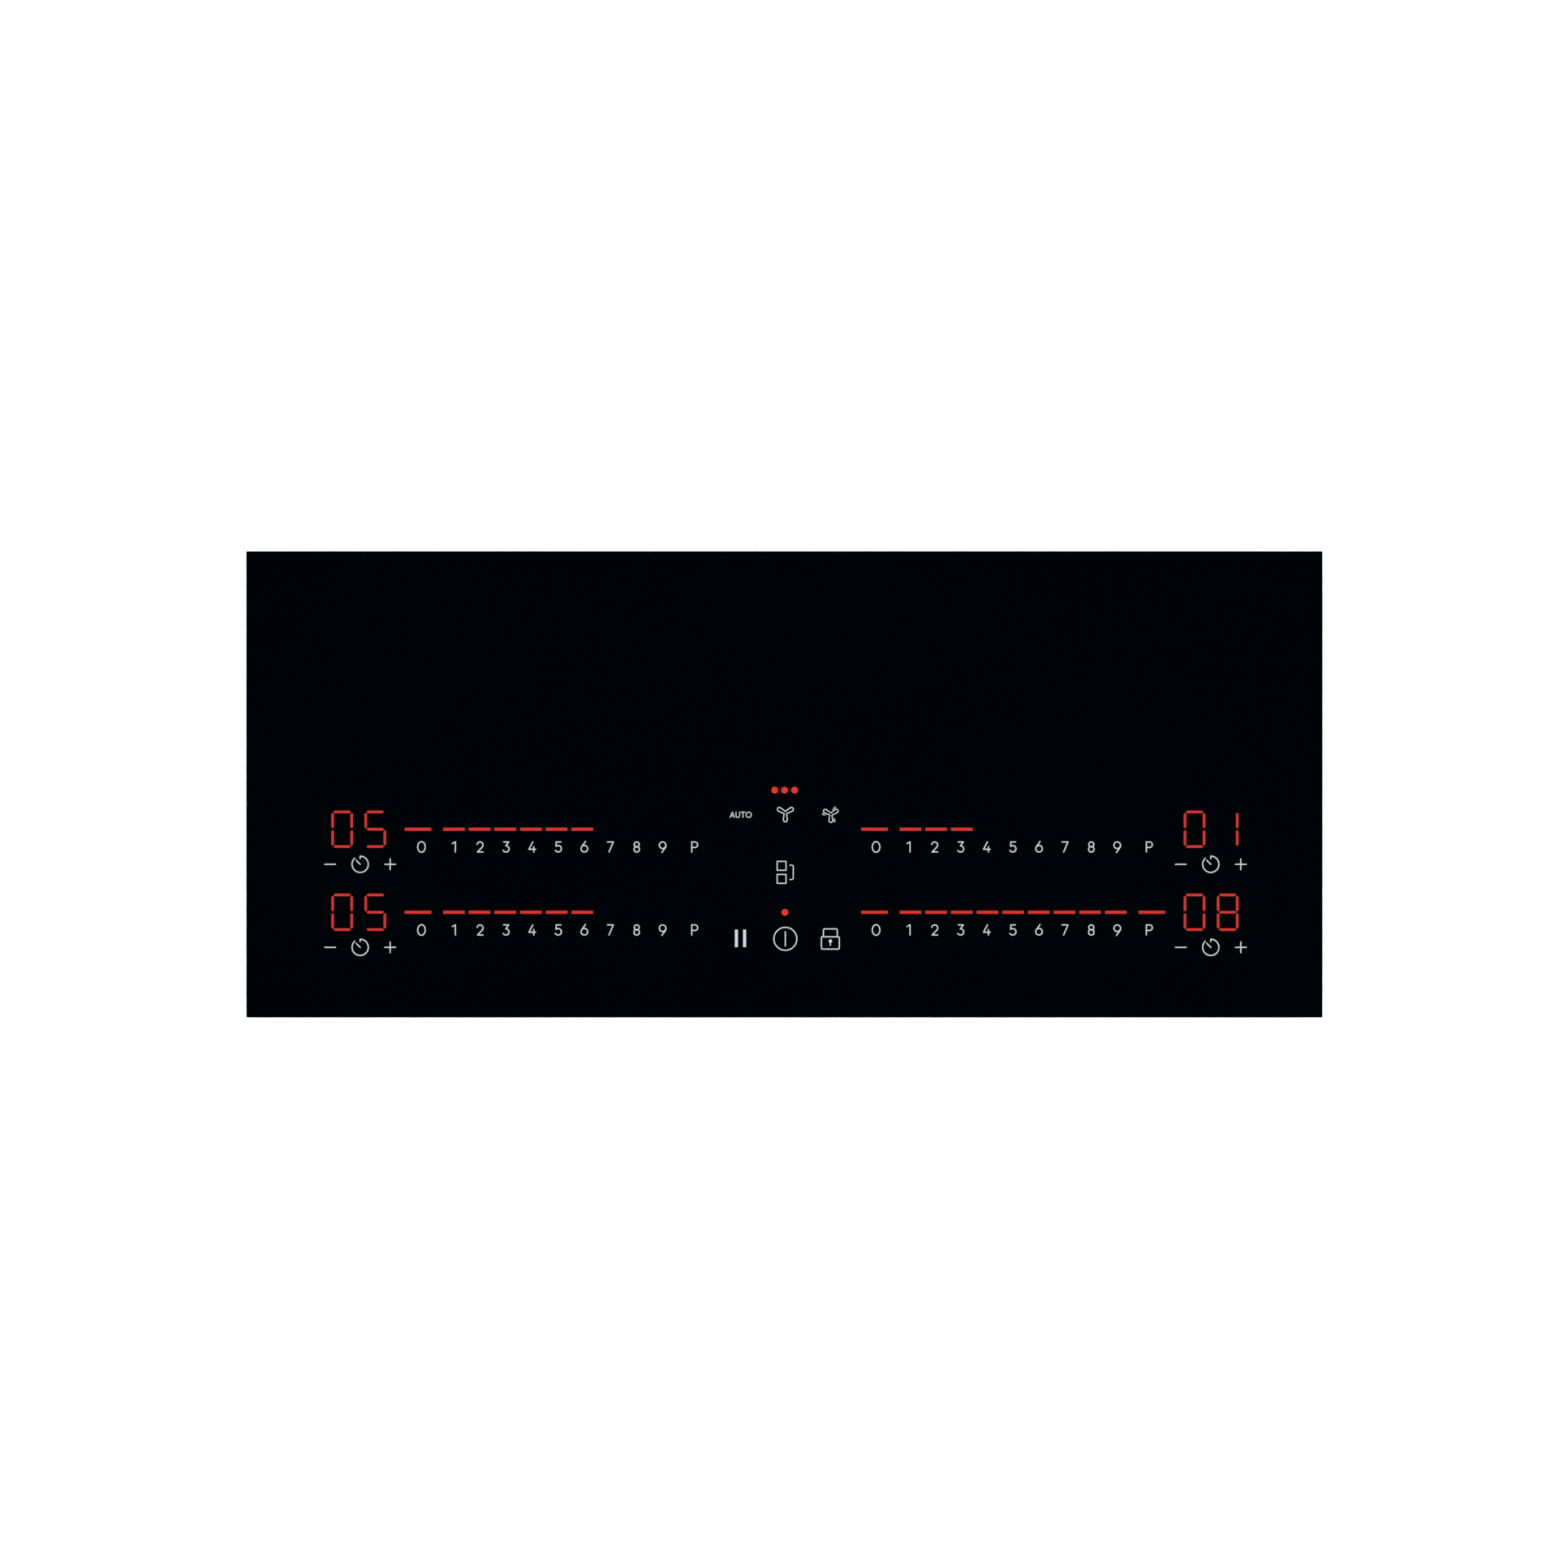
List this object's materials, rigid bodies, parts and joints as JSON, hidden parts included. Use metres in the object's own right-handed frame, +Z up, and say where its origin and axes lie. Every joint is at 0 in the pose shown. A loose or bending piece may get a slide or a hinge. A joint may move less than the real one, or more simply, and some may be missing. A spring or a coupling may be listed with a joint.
{
  "type": "induction hob",
  "caption": "Built-in induction hob: a wide black glass top with printed touch scales and lit red figures over a shallow steel tray with fold-out worktop clamps.",
  "frame": {"origin": "centre of the glass top's outline, at the height of the feet", "axes": "+X to the right along the long side, +Y to the rear, +Z up out of the glass"},
  "size_m": [0.9, 0.39, 0.0561],
  "materials": {
    "black_glass": "polished black glass-ceramic, opaque from above, ground edge",
    "print_white": "matt white fired enamel print",
    "light_red": "lit red window in the glass",
    "black_silicone": "cured silicone bead",
    "seal_foam": "closed-cell foam strip, matt",
    "galvanised_steel": "galvanised sheet, faint spangle, folded edges",
    "zinc_screws": "zinc plated",
    "brass_stand_offs": "turned brass",
    "deck_aluminium": "mill finish sheet",
    "spring_steel": "spring strip, satin",
    "mica": "pressed mica sheet, flaky and matt",
    "former_plastic": "glass-filled heat-resistant plastic",
    "litz_copper": "varnished stranded copper wire",
    "ferrite": "pressed ferrite, dull dark grey",
    "sensor_ceramic": "white ceramic sensor housing",
    "circuit_board": "green solder mask",
    "power_parts": "film capacitors, relays and chokes in coated cases",
    "filter_parts": "yellow film capacitors and choke",
    "heatsink_aluminium": "extruded, natural finish",
    "blower_plastic": "black moulded plastic",
    "impeller_plastic": "black moulded plastic",
    "motor_steel": "pressed steel can and ground shaft",
    "carrier_plastic": "light grey moulded plastic",
    "light_box_plastic": "black reflector housing",
    "pad_foam": "conductive foam",
    "ribbon_plastic": "grey flat cable",
    "wire_insulation": "silicone insulated wire",
    "terminal_plastic": "light grey moulded plastic",
    "terminal_block_plastic": "moulded terminal block with plated screws",
    "bush_rubber": "soft black rubber",
    "clamp_steel": "zinc plated strip"
  },
  "bodies": {
    "hob": {"glass_top": "black_glass", "printed_scales": "print_white", "printed_timer_keys": "print_white", "printed_centre_keys": "print_white", "lit_figures": "light_red", "lit_bars": "light_red", "lit_dots": "light_red", "glass_adhesive": "black_silicone", "sealing_strip": "seal_foam", "glass_frame": "galvanised_steel", "bottom_tray": "galvanised_steel", "screws": "zinc_screws", "stand_offs": "brass_stand_offs", "coil_deck": "deck_aluminium", "coil_springs": "spring_steel", "mica_discs": "mica", "coil_former_1": "former_plastic", "coil_former_2": "former_plastic", "coil_former_3": "former_plastic", "coil_former_4": "former_plastic", "coil_winding_1": "litz_copper", "coil_winding_2": "litz_copper", "coil_winding_3": "litz_copper", "coil_winding_4": "litz_copper", "coil_ferrites_1": "ferrite", "coil_ferrites_2": "ferrite", "coil_ferrites_3": "ferrite", "coil_ferrites_4": "ferrite", "pan_sensor_1": "sensor_ceramic", "pan_sensor_2": "sensor_ceramic", "pan_sensor_3": "sensor_ceramic", "pan_sensor_4": "sensor_ceramic", "power_board_left": "circuit_board", "power_board_right": "circuit_board", "power_parts_left": "power_parts", "power_parts_right": "power_parts", "heatsink_left": "heatsink_aluminium", "heatsink_right": "heatsink_aluminium", "filter_board": "circuit_board", "filter_parts": "filter_parts", "blower_left": "blower_plastic", "blower_right": "blower_plastic", "blower_motors": "motor_steel", "control_carrier": "carrier_plastic", "control_boards": "circuit_board", "light_boxes": "light_box_plastic", "touch_pads": "pad_foam", "carrier_springs": "spring_steel", "ribbon_cables": "ribbon_plastic", "wiring": "wire_insulation", "terminal_box": "terminal_plastic", "terminal_block": "terminal_block_plastic", "cable_bush": "bush_rubber"},
    "impeller_left_body": {"impeller_left": "impeller_plastic"},
    "impeller_right_body": {"impeller_right": "impeller_plastic"},
    "clamp_front_left_body": {"clamp_front_left": "clamp_steel"},
    "clamp_front_right_body": {"clamp_front_right": "clamp_steel"},
    "clamp_rear_left_body": {"clamp_rear_left": "clamp_steel"},
    "clamp_rear_right_body": {"clamp_rear_right": "clamp_steel"},
    "terminal_cover_body": {"terminal_cover": "terminal_plastic"}
  },
  "joints": [
    {"name": "impeller_left_spin", "type": "hinge", "parent": "hob", "child": "impeller_left_body", "pos_m": [-0.095, 0.065, 0.008], "axis": [0, 0, 1], "continuous": true},
    {"name": "impeller_right_spin", "type": "hinge", "parent": "hob", "child": "impeller_right_body", "pos_m": [0.095, 0.065, 0.008], "axis": [0, 0, 1], "continuous": true},
    {"name": "clamp_front_left_turn", "type": "hinge", "parent": "hob", "child": "clamp_front_left_body", "pos_m": [-0.415, -0.159, 0.007], "axis": [0, 0, -1], "range_deg": [0, 90]},
    {"name": "clamp_front_right_turn", "type": "hinge", "parent": "hob", "child": "clamp_front_right_body", "pos_m": [0.415, -0.159, 0.007], "axis": [0, 0, 1], "range_deg": [0, 90]},
    {"name": "clamp_rear_left_turn", "type": "hinge", "parent": "hob", "child": "clamp_rear_left_body", "pos_m": [-0.415, 0.159, 0.007], "axis": [0, 0, 1], "range_deg": [0, 90]},
    {"name": "clamp_rear_right_turn", "type": "hinge", "parent": "hob", "child": "clamp_rear_right_body", "pos_m": [0.415, 0.159, 0.007], "axis": [0, 0, -1], "range_deg": [0, 90]},
    {"name": "terminal_cover_hinge", "type": "hinge", "parent": "hob", "child": "terminal_cover_body", "pos_m": [0.1, 0.1275, 0.005], "axis": [-1, 0, 0], "range_deg": [0, 90]}
  ]
}
